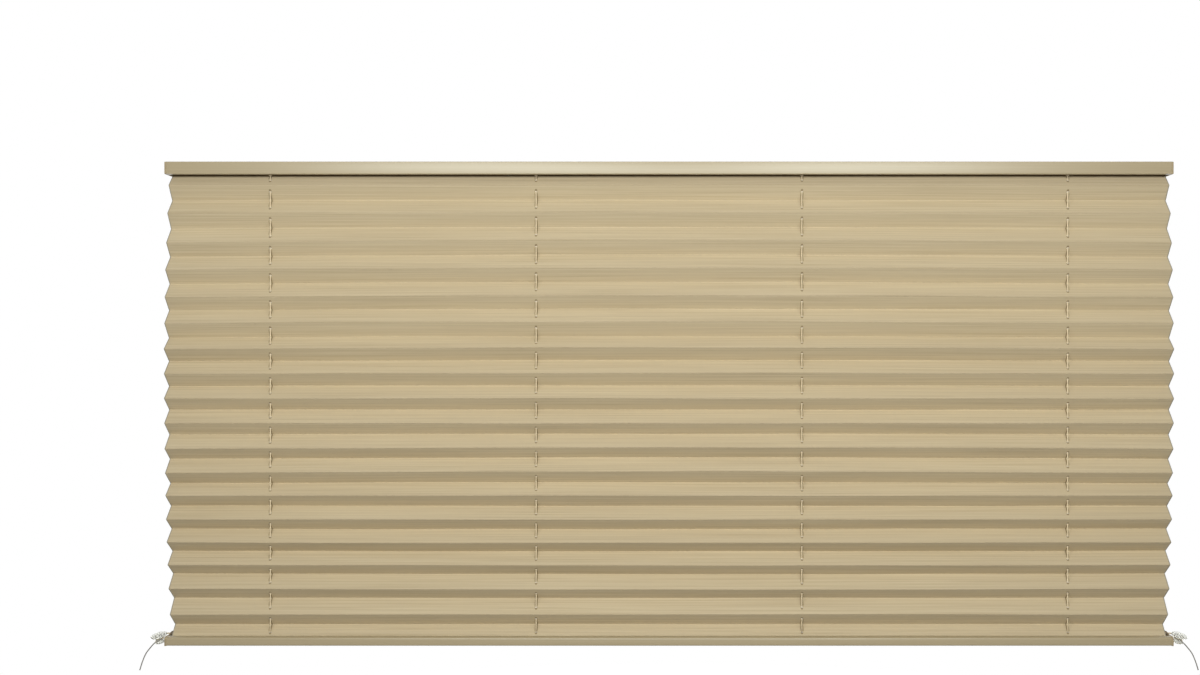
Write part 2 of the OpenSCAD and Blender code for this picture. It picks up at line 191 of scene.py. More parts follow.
def blended(nodes, links, how, factor, base, top):
    """Two colours mixed; factor, base and top are sockets or plain values."""
    mix = add(nodes, "ShaderNodeMix", data_type="RGBA", blend_type=how)
    for socket, value in ((mix.inputs[0], factor), (mix.inputs[6], base), (mix.inputs[7], top)):
        if isinstance(value, bpy.types.NodeSocket):
            links.new(value, socket)
        elif isinstance(value, tuple):
            socket.default_value = (*value, 1.0)
        else:
            socket.default_value = value
    return mix.outputs[2]


def figured(nodes, links, operation, a, b=None, c=None):
    """A Math node; a, b and c are sockets or plain numbers."""
    node = add(nodes, "ShaderNodeMath", operation=operation)
    for socket, value in zip(node.inputs, (a, b, c)):
        if isinstance(value, bpy.types.NodeSocket):
            links.new(value, socket)
        elif value is not None:
            socket.default_value = value
    return node.outputs[0]


def raised(nodes, links, shader, height, depth, strength=1.0):
    """Surface relief, depth in metres for a height of 0 to 1."""
    bump = add(nodes, "ShaderNodeBump")
    bump.inputs["Strength"].default_value = strength
    bump.inputs["Distance"].default_value = depth
    links.new(height, bump.inputs["Height"])
    links.new(bump.outputs["Normal"], shader.inputs["Normal"])


def eased_between(nodes, links, value, start, end):
    """0 to 1, smoothly, as a socket's value goes from start to end."""
    node = add(nodes, "ShaderNodeMapRange", interpolation_type="SMOOTHSTEP")
    node.inputs["From Min"].default_value = start
    node.inputs["From Max"].default_value = end
    links.new(value, node.inputs["Value"])
    return node.outputs["Result"]


def in_view(nodes, links):
    """1 for rays from the camera, and for those that a glossy or clear surface sends on."""
    rays = nodes.new("ShaderNodeLightPath").outputs
    sent_on = figured(nodes, links, "MAXIMUM", rays["Is Glossy Ray"], rays["Is Transmission Ray"])
    return figured(nodes, links, "MAXIMUM", rays["Is Camera Ray"], sent_on)


# Painted shadows of the cords: which cord, how far beside it, and how strong
CORD_SHADOWS = ((0, -0.0003, 1.0), (0, -0.0026, 0.5), (1, 0.0009, 1.0), (1, -0.0017, 0.6),
        (2, 0.0017, 1.0), (2, -0.0009, 0.6), (3, 0.0003, 1.0), (3, 0.0026, 0.5))
# A painted shadow fades from its core to its edge, and from the rear folds to the ridges
SHADOW_CORE, SHADOW_EDGE, SHADOW_FADE = 0.0002, 0.0009, 0.0012
# Painted shade round each cord's hole: where it centres, 1.2 mm in front of the cord, its core,
# its edge and its strength
HOLE_SHADE_Y = CORD_Y - 0.0012
HOLE_SHADE_CORE, HOLE_SHADE_EDGE, HOLE_SHADE_STRENGTH = 0.0011, 0.0020, 0.9


def cord_painted_shadows(nodes, links):
    """Painted shadows of the cords: dark lines in the hollow of each rear fold, and painted shade
    round the cords' holes.
    """
    place = nodes.new("ShaderNodeSeparateXYZ")
    links.new(on_object(nodes), place.inputs["Vector"])

    def away_from(x):
        aside = figured(nodes, links, "SUBTRACT", place.outputs["X"], x)
        return figured(nodes, links, "ABSOLUTE", aside)

    marks = 0.0
    for cord, aside, strength in CORD_SHADOWS:
        away = away_from(CORD_LINES[cord] + aside)
        line = eased_between(nodes, links, away, SHADOW_EDGE, SHADOW_CORE)
        line = figured(nodes, links, "MULTIPLY", line, strength)
        marks = figured(nodes, links, "MAXIMUM", line, marks)
    behind = eased_between(nodes, links, place.outputs["Y"], -SHADOW_FADE, SHADOW_FADE)
    marks = figured(nodes, links, "MULTIPLY", marks, behind)
    across = 1.0
    for x in CORD_LINES:
        across = figured(nodes, links, "MINIMUM", away_from(x), across)
    ahead = figured(nodes, links, "SUBTRACT", place.outputs["Y"], HOLE_SHADE_Y)
    ahead = figured(nodes, links, "MULTIPLY", ahead, ahead)
    from_hole = figured(nodes, links, "MULTIPLY_ADD", across, across, ahead)
    from_hole = figured(nodes, links, "SQRT", from_hole)
    rim = eased_between(nodes, links, from_hole, HOLE_SHADE_EDGE, HOLE_SHADE_CORE)
    rim = figured(nodes, links, "MULTIPLY", rim, HOLE_SHADE_STRENGTH)
    return figured(nodes, links, "MAXIMUM", marks, rim)


def pleat_cloth():
    """Stiffened plain weave with slubs across and side edges coloured darker, with painted shade
    at the ridges, painted light in the rear folds, painted cord shadows and painted shade under
    the head rail.
    """
    finish, nodes, links, shader = new_finish("pleat_cloth", 0.85, 0.25)
    shader.inputs["Sheen Weight"].default_value = 0.06
    shader.inputs["Sheen Roughness"].default_value = 0.5
    uv = add(nodes, "ShaderNodeUVMap", uv_map="weave").outputs["UV"]
    slubs = noise(nodes, links, mapped(nodes, links, uv, (4.0, 520.0, 1.0)),
                  detail=4.0, roughness=0.65)
    bands = noise(nodes, links, mapped(nodes, links, uv, (1.6, 70.0, 1.0)), detail=2.0)
    tan = graded(nodes, links, slubs, ((0.32, (0.513, 0.424, 0.265)),
                                       (0.50, (0.584, 0.489, 0.314)),
                                       (0.68, (0.641, 0.545, 0.358))))
    broad = graded(nodes, links, bands, ((0.35, (0.97, 0.97, 0.975)), (0.65, (1.0, 1.0, 1.0))))
    tan = blended(nodes, links, "MULTIPLY", 1.0, tan, broad)
    # Painted shade makes each ridge a little darker, and painted light makes each rear fold a
    # little paler
    fold = marked(nodes, "fold")
    ridge = figured(nodes, links, "MAXIMUM", fold, 0.0)
    tan = blended(nodes, links, "MULTIPLY", ridge, tan, (0.90, 0.885, 0.87))
    hollow = figured(nodes, links, "MAXIMUM", figured(nodes, links, "MULTIPLY", fold, -0.22), 0.0)
    tan = blended(nodes, links, "MIX", hollow, tan, (0.69, 0.595, 0.405))
    # The side edges, within half a millimetre, are coloured darker
    selvage = marked(nodes, "selvage")
    tan = blended(nodes, links, "MIX", selvage, tan, (0.30, 0.28, 0.22))
    # Painted shadows beside the cords and painted shade round their holes
    tan = blended(nodes, links, "MULTIPLY", cord_painted_shadows(nodes, links), tan, (0.46, 0.42, 0.34))
    # Painted shade on the cloth inside the head rail and just below it, where the rail shades it
    head_rail_shade = marked(nodes, "head_rail_shade")
    tan = blended(nodes, links, "MULTIPLY", head_rail_shade, tan, (0.34, 0.28, 0.20))
    links.new(tan, shader.inputs["Base Color"])
    # Threads 0.6 mm apart, both ways
    threads = []
    for axis in ("X", "Y"):
        wave = add(nodes, "ShaderNodeTexWave", wave_type="BANDS", bands_direction=axis)
        wave.inputs["Scale"].default_value = 523.0
        links.new(uv, wave.inputs["Vector"])
        threads.append(wave.outputs["Fac"])
    weave = figured(nodes, links, "MULTIPLY", *threads)
    height = figured(nodes, links, "MULTIPLY_ADD", slubs, 1.5, weave)
    raised(nodes, links, shader, height, 0.00005, 0.6)
    return finish


def rail_paint():
    """Tan stove enamel on rolled aluminium: satin, with a faint drawn grain."""
    finish, nodes, links, shader = new_finish("rail_paint", 0.40, 0.6)
    shader.inputs["Specular Tint"].default_value = (0.90, 1.0, 0.90, 1.0)
    shader.inputs["Coat Weight"].default_value = 0.8
    shader.inputs["Coat Roughness"].default_value = 0.38
    place = on_object(nodes)
    grain = noise(nodes, links, mapped(nodes, links, place, (6.0, 900.0, 900.0)), detail=4.0)
    colour = graded(nodes, links, grain, ((0.30, (0.350, 0.277, 0.152)),
                                          (0.70, (0.385, 0.307, 0.175))))
    links.new(colour, shader.inputs["Base Color"])
    sheen = figured(nodes, links, "MULTIPLY_ADD", grain, 0.08, 0.35)
    links.new(sheen, shader.inputs["Roughness"])
    peel = noise(nodes, links, mapped(nodes, links, place, (1400.0, 1400.0, 1400.0)), detail=2.0)
    raised(nodes, links, shader, peel, 0.00001, 0.5)
    return finish


def moulded(name, dark, light, roughness, grain_size=0.0006):
    """A matte moulding with a fine sparked grain."""
    finish, nodes, links, shader = new_finish(name, roughness, 0.15)
    place = on_object(nodes)
    grain = noise(nodes, links, place, 1.0 / grain_size, 4.0)
    cloud = noise(nodes, links, place, 60.0, 2.0)
    tone = figured(nodes, links, "MULTIPLY_ADD", cloud, 0.6,
                   figured(nodes, links, "MULTIPLY", grain, 0.4))
    colour = graded(nodes, links, tone, ((0.35, dark), (0.65, light)))
    links.new(colour, shader.inputs["Base Color"])
    raised(nodes, links, shader, grain, 0.00002, 0.6)
    return finish


def spool_clear():
    """Clear moulded plastic with faint flow clouds."""
    finish, nodes, links, shader = new_finish("spool_clear", 0.15)
    shader.inputs["Transmission Weight"].default_value = 0.74
    shader.inputs["IOR"].default_value = 1.28
    place = on_object(nodes)
    cloud = noise(nodes, links, place, 260.0, 2.0)
    links.new(graded(nodes, links, cloud, ((0.3, (0.80, 0.805, 0.74)), (0.7, (0.90, 0.90, 0.85)))),
              shader.inputs["Base Color"])
    links.new(figured(nodes, links, "MULTIPLY_ADD", cloud, 0.12, 0.16), shader.inputs["Roughness"])
    return finish


BRAID_STRANDS = 4
BRAID_PITCH = 0.0009


def braided(name, dark, light, shade_stretch=None):
    """Round braid: two sets of strands that wind opposite ways, with a sealed tip.

    The last argument is (start, end, colour): from that stretch on, the cord is multiplied by the
    colour, a painted shade that greys and darkens the loose tail.
    """
    finish, nodes, links, shader = new_finish(name, 0.9, 0.08)
    uv = add(nodes, "ShaderNodeUVMap", uv_map="braid").outputs["UV"]
    parts = add(nodes, "ShaderNodeSeparateXYZ")
    links.new(uv, parts.inputs["Vector"])
    along = figured(nodes, links, "MULTIPLY", parts.outputs["Y"], math.tau / BRAID_PITCH)
    strands = []
    for hand in (1.0, -1.0):
        turn = figured(nodes, links, "MULTIPLY_ADD", parts.outputs["X"],
                       hand * BRAID_STRANDS * math.tau, along)
        strands.append(figured(nodes, links, "ABSOLUTE", figured(nodes, links, "SINE", turn)))
    height = figured(nodes, links, "MAXIMUM", *strands)
    # The low grooves between the strands are coloured darker than their crowns: painted shade
    colour = graded(nodes, links, height, ((0.55, dark), (0.95, light)))
    if shade_stretch:
        # Painted shade: from this stretch on, the loose tail is darkened and greyed
        start, end, grey = shade_stretch
        tail_shade = eased_between(nodes, links, parts.outputs["Y"], start, end)
        colour = blended(nodes, links, "MULTIPLY", tail_shade, colour, grey)
    tip = marked(nodes, "tip")
    colour = blended(nodes, links, "MIX", tip, colour, (0.05, 0.045, 0.04))
    links.new(colour, shader.inputs["Base Color"])
    raised(nodes, links, shader, height, 0.00010, 0.7)
    return finish


def drawn_wire():
    """Bright spring wire with fine drawing marks."""
    finish, nodes, links, shader = new_finish("drawn_wire", 0.32)
    shader.inputs["Metallic"].default_value = 1.0
    place = on_object(nodes)
    streak = noise(nodes, links, mapped(nodes, links, place, (300.0, 2500.0, 2500.0)), detail=3.0)
    links.new(graded(nodes, links, streak, ((0.3, (0.42, 0.42, 0.43)), (0.7, (0.62, 0.62, 0.63)))),
              shader.inputs["Base Color"])
    links.new(figured(nodes, links, "MULTIPLY_ADD", streak, 0.2, 0.22), shader.inputs["Roughness"])
    return finish


CLOTH = pleat_cloth()
PAINT = rail_paint()
CAP = moulded("cap_moulding", (0.375, 0.300, 0.180), (0.415, 0.335, 0.205), 0.7)
# Dark brown for the outlet and its bore: painted shade
OUTLET_SHADE = moulded("outlet_painted_shade", (0.15, 0.112, 0.072), (0.20, 0.152, 0.100), 0.6)
STRIP = moulded("strip_extrusion", (0.40, 0.33, 0.21), (0.46, 0.38, 0.25), 0.5)
GUIDE = moulded("guide_moulding", (0.44, 0.37, 0.25), (0.50, 0.42, 0.29), 0.45)
CLEAR = spool_clear()
CORD_TANS = ((0.56, 0.46, 0.29), (0.86, 0.74, 0.51))
CORD = braided("cord_braid", *CORD_TANS)
# The loose tail's painted shade starts 44 mm along it and is full from 56 mm
TAIL = braided("tail_braid", *CORD_TANS, shade_stretch=(0.044, 0.056, (0.40, 0.45, 0.60)))
WIRE = drawn_wire()

FINISH_OF_SLOT = {"rail_metal": PAINT, "cap_plastic": CAP, "cloth": CLOTH,
                  "strip_plastic": STRIP, "guide_plastic": GUIDE, "spring_steel": WIRE,
                  "clear_plastic": CLEAR, "cord": CORD}


def finished(piece, finish, slot, body, *nodes):
    """Gives a piece its material, its body and the solids it stands for; the slot argument is not
    used.
    """
    piece.data.materials.clear()
    piece.data.materials.append(finish)
    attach(piece, body)
    if nodes:
        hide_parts(*nodes)
    return piece


# ---------------------------------------------------------------- cords

def headings(points):
    """Which way a route runs at each of its points."""
    last = len(points) - 1
    return [(points[min(i + 1, last)] - points[max(i - 1, 0)]).normalized()
            for i in range(last + 1)]


def eased(points, n):
    """A smooth route through the points, n steps from one to the next."""
    points = [Vector(p) for p in points]
    ways = headings(points)
    route = []
    for (p, q), (a, b) in zip(zip(points, points[1:]), zip(ways, ways[1:])):
        for k in range(n):
            t = k / n
            s = 1 - t
            route.append(s * s * (1 + 2 * t) * p + t * t * (3 - 2 * t) * q
                         + (q - p).length * s * t * (s * a - t * b))
    return route + [points[-1]]


def tube(name, route, diameter, sides=16, tip=0.0):
    """A round cord along a route, with its braid laid out in a UV map."""
    ways = headings(route)
    across = ways[0].orthogonal().normalized()
    verts, run, lengths = [], 0.0, []
    for i, (point, way) in enumerate(zip(route, ways)):
        run += (point - route[i - 1]).length if i else 0.0
        lengths.append(run)
        across = (across - across.dot(way) * way).normalized()
        beside = way.cross(across)
        for k in range(sides):
            a = math.tau * k / sides
            verts.append(point + diameter / 2 * (math.cos(a) * across + math.sin(a) * beside))
    faces = [(i * sides + k, i * sides + (k + 1) % sides,
              (i + 1) * sides + (k + 1) % sides, (i + 1) * sides + k)
             for i in range(len(route) - 1) for k in range(sides)]
    faces.append(tuple(range(sides - 1, -1, -1)))
    faces.append(tuple((len(route) - 1) * sides + k for k in range(sides)))
    mesh = bpy.data.meshes.new(name)
    mesh.from_pydata([tuple(v) for v in verts], [], faces)
    braid = mesh.uv_layers.new(name="braid")
    for face in mesh.polygons:
        face.use_smooth = len(face.vertices) == 4
        for corner, (loop, vert) in enumerate(zip(face.loop_indices, face.vertices)):
            k = vert % sides
            turn = 1.0 if len(face.vertices) == 4 and corner in (1, 2) and k == 0 else k / sides
            braid.data[loop].uv = (turn, lengths[vert // sides])
    sealed = mesh.attributes.new("tip", "FLOAT", "POINT")
    for i, value in enumerate(sealed.data):
        value.value = 1.0 if tip and lengths[i // sides] > run - tip else 0.0
    piece = bpy.data.objects.new(name, mesh)
    scene.collection.objects.link(piece)
    return piece, run


def mirrored(points, side):
    """A right-hand route for one side: 1 is right, -1 is left."""
    return [Vector((side * p[0], p[1], p[2])) for p in points]


def round_spool(radius, angle, height):
    """A point round the right spool's axis: radius, angle from outwards, height."""
    a = math.radians(angle)
    across, back = radius * math.cos(a), radius * math.sin(a)
    y = back * math.cos(SPOOL_TILT) - height * math.sin(SPOOL_TILT)
    z = back * math.sin(SPOOL_TILT) + height * math.cos(SPOOL_TILT)
    return SPOOL_AT + Vector((across * math.cos(SPOOL_LEAN) + z * math.sin(SPOOL_LEAN), y,
                              -across * math.sin(SPOOL_LEAN) + z * math.cos(SPOOL_LEAN)))


WAIST_R = 0.0045
WIND_R = WAIST_R + CORD_D / 2 + 0.0001
WIND_HIGH, WIND_LOW = 0.0025, -0.0025
# The tail's turns: from and to which angle, in degrees, and their fall in a whole turn
WIND_FROM, WIND_TO, WIND_FALL = 165, 585, 0.002
CORD_BEND = 0.003
CORDS_APART = 0.0016
INNER_RUN_Y = -0.006
SEALED_TIP = 0.0016

# Free end of an inner cord: out of the cap, round the spool, then a loose tail
tail_route = eased([(0.6351, 0.0037, OUTLET_Z), (0.6363, 0.0034, OUTLET_Z),
                    (0.6373, 0.0010, OUTLET_Z), (0.6378, -0.0033, OUTLET_Z + 0.0001),
                    round_spool(WIND_R, WIND_FROM, WIND_HIGH)], 4)
tail_route += [round_spool(WIND_R, a, WIND_HIGH - WIND_FALL * (a - WIND_FROM) / 360)
               for a in range(WIND_FROM + 10, WIND_TO + 1, 10)]
tail_route += eased([(0.642, -0.0153, -0.6025), (0.646, -0.0173, -0.605),
                     (0.652, -0.017, -0.6115), (0.6575, -0.016, -0.6185),
                     (0.6625, -0.0145, -0.629), (0.6665, -0.013, -0.640)], 6)
for side, hand in ((-1, "left"), (1, "right")):
    route = mirrored(tail_route, side)
    tail, tail_length = tube("spool_tail_" + hand, route, CORD_D, tip=SEALED_TIP)
    finished(tail, TAIL, "cord", "foot", "spool_cord_" + hand)


def foot_start(x):
    """A cord's way down through its guide and round into the bottom rail."""
    return [(x, CORD_Y, FOOT_ENTRY_Z), (x, CORD_Y, LOW_RIM_Z),
            (x + CORD_BEND / 2, CORD_Y, RUN_Z + CORD_BEND / 4),
            (x + 2 * CORD_BEND, CORD_Y, RUN_Z)]


def foot_end(y):
    """A cord's way up past the strip's end and out through the cap's outlet."""
    return [(RAIL_LEN / 2 - STRIP_CUT + 0.003, y, RUN_Z),
            (RAIL_LEN / 2 - CAP_PLUG - 0.004, y, LOW_STRIP_Z - CAP_FIT + CORD_D),
            (BLIND_W / 2 - OUTLET_LEN - 0.001, y, OUTLET_Z), (BLIND_W / 2, y, OUTLET_Z)]


# Cords in the bottom rail, from a guide to the outlet; the outer ones end on the spool
outer_x, inner_x = CORD_LINES[3], CORD_LINES[2]
outer_y, inner_y = OUTLET_Y + CORDS_APART / 2, OUTLET_Y - CORDS_APART / 2
outer_route = eased(foot_start(outer_x) + [(outer_x + 0.05, outer_y, RUN_Z)]
                    + foot_end(outer_y), 6)
outer_route += eased([(BLIND_W / 2 + 0.0025, outer_y - 0.0002, OUTLET_Z),
                      (BLIND_W / 2 + 0.005, outer_y - 0.0035, OUTLET_Z),
                      round_spool(WIND_R + 0.0028, 100, WIND_LOW + 0.0019),
                      round_spool(WIND_R + 0.0014, 80, WIND_LOW + 0.0008)]
                     + [round_spool(WIND_R, a, WIND_LOW) for a in range(60, -41, -10)], 3)
inner_route = eased(foot_start(inner_x) + [(inner_x + 12 * CORD_BEND, INNER_RUN_Y, RUN_Z),
                                           (outer_x + 0.015, INNER_RUN_Y, RUN_Z)]
                    + foot_end(inner_y), 6)
for number, side, route in ((1, -1, outer_route), (2, -1, inner_route),
                            (3, 1, inner_route), (4, 1, outer_route)):
    run, _ = tube("foot_cord_%d" % number, mirrored(route, side), CORD_D)
    finished(run, CORD, "cord", "foot", "bottom_cord_%d" % number)


# Straight runs through the pleats, which shorten as the bottom rail goes up
for number, x in enumerate(CORD_LINES, 1):
    low, high = FOOT_ENTRY_Z + 0.0001, HEAD_EXIT_Z - 0.0001
    route = [Vector((x, CORD_Y, low + (high - low) * i / 40)) for i in range(41)]
    run, _ = tube("stitch_cord_%d" % number, route, CORD_D)
    finished(run, CORD, "cord", "head", "lift_cord_%d" % number)
    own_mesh(run)


# ---------------------------------------------------------------- shaping helpers

def only(piece):
    """Makes a piece the only one selected."""
    bpy.ops.object.select_all(action="DESELECT")
    piece.select_set(True)
    bpy.context.view_layer.objects.active = piece


def edit(piece):
    """Opens a piece in edit mode, with all of it selected."""
    only(piece)
    bpy.ops.object.mode_set(mode="EDIT")
    bpy.ops.mesh.select_mode(type="VERT")
    bpy.ops.mesh.select_all(action="SELECT")


def done():
    bpy.ops.object.mode_set(mode="OBJECT")


def settle(piece):
    """Puts a piece's place and turn into its mesh."""
    only(piece)
    bpy.ops.object.transform_apply(location=True, rotation=True, scale=True)
    return piece


def pull_out(step):
    """In edit mode, extrudes what is selected."""
    bpy.ops.mesh.extrude_region_move(TRANSFORM_OT_translate={"value": step})


def drawn_line(name, points):
    """A bent line, drawn from point to point by extruding its end."""
    bpy.ops.object.select_all(action="DESELECT")
    bpy.ops.mesh.primitive_plane_add(size=0.002, location=points[0])
    piece = bpy.context.object
    piece.name = piece.data.name = name
    edit(piece)
    bpy.ops.mesh.merge(type="CENTER")
    for a, b in zip(points, points[1:]):
        pull_out(tuple(Vector(b) - Vector(a)))
    done()
    return settle(piece)


def changed(piece, kind, **settings):
    """Adds a modifier and applies it."""
    only(piece)
    modifier = piece.modifiers.new(kind.lower(), kind)
    for key, value in settings.items():
        setattr(modifier, key, value)
    bpy.ops.object.modifier_apply(modifier=modifier.name)
    return piece


def cut_with(piece, cutter, operation="DIFFERENCE"):
    """Cuts a piece with another, or joins them, and removes the other."""
    changed(piece, "BOOLEAN", operation=operation, solver="EXACT", object=cutter)
    bpy.data.objects.remove(cutter, do_unlink=True)
    return piece


def rounded(piece, width, segments=3, angle=40):
    """Bevels the edges that are sharper than an angle."""
    return changed(piece, "BEVEL", width=width, segments=segments, limit_method="ANGLE",
                   angle_limit=math.radians(angle), use_clamp_overlap=True)


def smooth(piece, angle=35):
    only(piece)
    bpy.ops.object.shade_smooth_by_angle(angle=math.radians(angle))
    return piece


def outward(piece):
    """Merges doubles and turns all faces outwards."""
    edit(piece)
    bpy.ops.mesh.remove_doubles(threshold=1e-6)
    bpy.ops.mesh.normals_make_consistent(inside=False)
    done()
    return piece


def rod(diameter, length, at, along="Z", sides=32):
    """A cutter for a round hole."""
    bpy.ops.object.select_all(action="DESELECT")
    turn = {"Z": (0, 0, 0), "X": (0, math.radians(90), 0)}[along]
    bpy.ops.mesh.primitive_cylinder_add(vertices=sides, radius=diameter / 2, depth=length,
                                        location=at, rotation=turn)
    return settle(bpy.context.object)


def block(name, size, at):
    bpy.ops.object.select_all(action="DESELECT")
    bpy.ops.mesh.primitive_cube_add(size=1.0, location=at)
    piece = bpy.context.object
    piece.name = piece.data.name = name
    piece.scale = size
    return settle(piece)


def mirror_copy(piece, name):
    """The left-hand twin of a right-hand piece, with its own mesh."""
    twin = piece.copy()
    twin.data = piece.data.copy()
    twin.name = twin.data.name = name
    scene.collection.objects.link(twin)
    twin.scale = (-1, 1, 1)
    settle(twin)
    edit(twin)
    bpy.ops.mesh.normals_make_consistent(inside=False)
    done()
    return twin


# ---------------------------------------------------------------- rails

HEAD_EDGE, FOOT_EDGE = 0.0005, 0.0004
FOOT_ROUND, SHOULDER_ROUND = 0.0016, 0.0010


def rolled_rail(name, line):
    """A strip rolled to a profile: the line runs along the middle of its wall."""
    rail = drawn_line(name, [(-RAIL_LEN / 2, y, z) for y, z in line])
    edit(rail)
    pull_out((RAIL_LEN, 0, 0))
    done()
    changed(rail, "SOLIDIFY", thickness=WALL, offset=0.0, use_even_offset=True)
    return outward(rail)


half_wall = WALL / 2
face_y, head_low = -HALF_D + half_wall, -HEAD_H + half_wall
head_rail = rolled_rail("head_channel", [
    (-HALF_SLOT, head_low), (face_y, head_low), (face_y, -half_wall),
    (-face_y, -half_wall), (-face_y, head_low), (HALF_SLOT, head_low)])
for side in (-1, 1):
    cut_with(head_rail, rod(SCREW_D, 0.006, (side * (BLIND_W / 2 - SCREW_INSET), 0, 0)))
rounded(head_rail, HEAD_EDGE)
finished(smooth(head_rail), PAINT, "rail_metal", "head", "head_rail")

# The bottom rail's lower corners are rolled round, its upper edges slope to the slot
slope_in = half_wall * math.tan(math.atan2(FOOT_BEVEL, FOOT_SLOPE) / 2)
wall_in = half_wall * math.tan(math.atan2(FOOT_SLOPE, FOOT_BEVEL) / 2)
lower_corner = []
for degrees in (0, 22.5, 45, 67.5, 90):
    angle = math.radians(degrees)
    lower_corner.append((face_y + FOOT_ROUND * (1 - math.cos(angle)),
                         FOOT_Z + half_wall + FOOT_ROUND * (1 - math.sin(angle))))
shoulder = Vector((face_y, FOOT_TOP - FOOT_BEVEL - wall_in))
on_slope = shoulder + SHOULDER_ROUND * Vector((FOOT_SLOPE, FOOT_BEVEL)).normalized()
on_face = shoulder + SHOULDER_ROUND * Vector((0, -1))
upper_corner = [tuple((1 - t) ** 2 * on_slope + 2 * t * (1 - t) * shoulder + t * t * on_face)
                for t in (0, 0.25, 0.5, 0.75, 1)]
front_side = [(-HALF_SLOT, FOOT_TOP - half_wall),
              (-HALF_D + FOOT_SLOPE + slope_in, FOOT_TOP - half_wall)]
front_side += upper_corner + lower_corner
foot_rail = rolled_rail("foot_channel", front_side + [(-y, z) for y, z in reversed(front_side)])
rounded(foot_rail, FOOT_EDGE, angle=32)
finished(smooth(foot_rail), PAINT, "rail_metal", "foot", "bottom_rail")


# ---------------------------------------------------------------- end caps

def face_towards(piece, axis, sign):
    """In edit mode, selects the flat faces that lie furthest along an axis."""
    bpy.ops.mesh.select_all(action="DESELECT")
    bpy.ops.mesh.select_mode(type="FACE")
    done()
    far = max(sign * face.center[axis] for face in piece.data.polygons)
    for face in piece.data.polygons:
        face.select = sign * face.normal[axis] > 0.9 and sign * face.center[axis] > far - 1e-5
    bpy.ops.object.mode_set(mode="EDIT")


def plate(name, outline):
    """A cap's flat plate, from its outline: the outer face is at the blind's end."""
    piece = drawn_line(name, [(BLIND_W / 2 - CAP_T, y, z) for y, z in outline])
    edit(piece)
    bpy.ops.mesh.edge_face_add()
    pull_out((CAP_T, 0, 0))
    done()
    return outward(piece)


CAP_EDGE = 0.0003
OVERLAP = 0.0002
PLUG_W = RAIL_D - 2 * WALL - 2 * CAP_FIT
HEAD_PLUG_Z = TOP_RIM_Z + GUIDE_RIM + CAP_FIT
head_plug_h = -WALL - CAP_FIT - HEAD_PLUG_Z
head_cap = plate("head_cap_right", [
    (-HALF_D, -CAP_BEVEL), (-HALF_D + CAP_BEVEL, 0), (HALF_D - CAP_BEVEL, 0), (HALF_D, -CAP_BEVEL),
    (HALF_D, -HEAD_H + CAP_BEVEL), (HALF_D - CAP_BEVEL, -HEAD_H), (-HALF_D + CAP_BEVEL, -HEAD_H),
    (-HALF_D, -HEAD_H + CAP_BEVEL)])
plug = block("plug", (CAP_PLUG + OVERLAP, PLUG_W, head_plug_h),
             (RAIL_LEN / 2 - CAP_PLUG / 2 + OVERLAP / 2, 0, HEAD_PLUG_Z + head_plug_h / 2))
edit(plug)
face_towards(plug, 0, -1)
bpy.ops.mesh.inset(thickness=WALL)
pull_out((CAP_PLUG - OVERLAP, 0, 0))
done()
cut_with(head_cap, plug, "UNION")
rounded(head_cap, CAP_EDGE, 2)
smooth(head_cap)
head_cap_left = mirror_copy(head_cap, "head_cap_left")
finished(head_cap, CAP, "cap_plastic", "head", "head_rail_end_cap_right")
finished(head_cap_left, CAP, "cap_plastic", "head", "head_rail_end_cap_left")

foot_cap = plate("foot_cap_right", [
    (-HALF_D, FOOT_Z), (HALF_D, FOOT_Z), (HALF_D, FOOT_TOP - FOOT_BEVEL),
    (HALF_D - FOOT_SLOPE, FOOT_TOP), (-HALF_D + FOOT_SLOPE, FOOT_TOP),
    (-HALF_D, FOOT_TOP - FOOT_BEVEL)])
foot_plug_low, foot_plug_high = FOOT_Z + WALL + CAP_FIT, LOW_STRIP_Z - CAP_FIT
plug = block("plug", (CAP_PLUG + OVERLAP, PLUG_W, foot_plug_high - foot_plug_low),
             (RAIL_LEN / 2 - CAP_PLUG / 2 + OVERLAP / 2, 0, (foot_plug_low + foot_plug_high) / 2))
cut_with(foot_cap, plug, "UNION")
# The outlet slopes to a crest, and a root under it reaches into the plate
outlet_x = BLIND_W / 2 - OUTLET_LEN / 2
outlet = block("outlet", (OUTLET_LEN, OUTLET_ROOT_W, OUTLET_H),
               (outlet_x, OUTLET_Y, FOOT_TOP + OUTLET_H / 2))
edit(outlet)
face_towards(outlet, 2, 1)
bpy.ops.transform.resize(
    value=(0.5, OUTLET_CREST_W / OUTLET_ROOT_W, 1.0),
    center_override=(BLIND_W / 2 - OUTLET_LEN, OUTLET_Y, FOOT_TOP + OUTLET_H))
done()
root = block("outlet_root", (CAP_T, OUTLET_ROOT_W, 0.001),
             (BLIND_W / 2 - CAP_T / 2, OUTLET_Y, FOOT_TOP - 0.0001))
cut_with(outlet, root, "UNION")
cut_with(foot_cap, outlet, "UNION")
cut_with(foot_cap, rod(OUTLET_D, OUTLET_LEN + 0.002, (outlet_x, OUTLET_Y, OUTLET_Z), "X"))
rounded(foot_cap, CAP_EDGE, 2, 25)
smooth(foot_cap)
foot_cap_left = mirror_copy(foot_cap, "foot_cap_left")
for cap, hand in ((foot_cap, "right"), (foot_cap_left, "left")):
    finished(cap, CAP, "cap_plastic", "foot", "bottom_rail_end_cap_" + hand)
    # The outlet and the inside of its bore take the dark brown painted shade
    cap.data.materials.append(OUTLET_SHADE)
    for face in cap.data.polygons:
        in_bore = (face.center.yz - Vector((OUTLET_Y, OUTLET_Z))).length < OUTLET_D / 2
        face.material_index = int(in_bore or face.center.z > FOOT_TOP + 0.00005)


# ---------------------------------------------------------------- spools

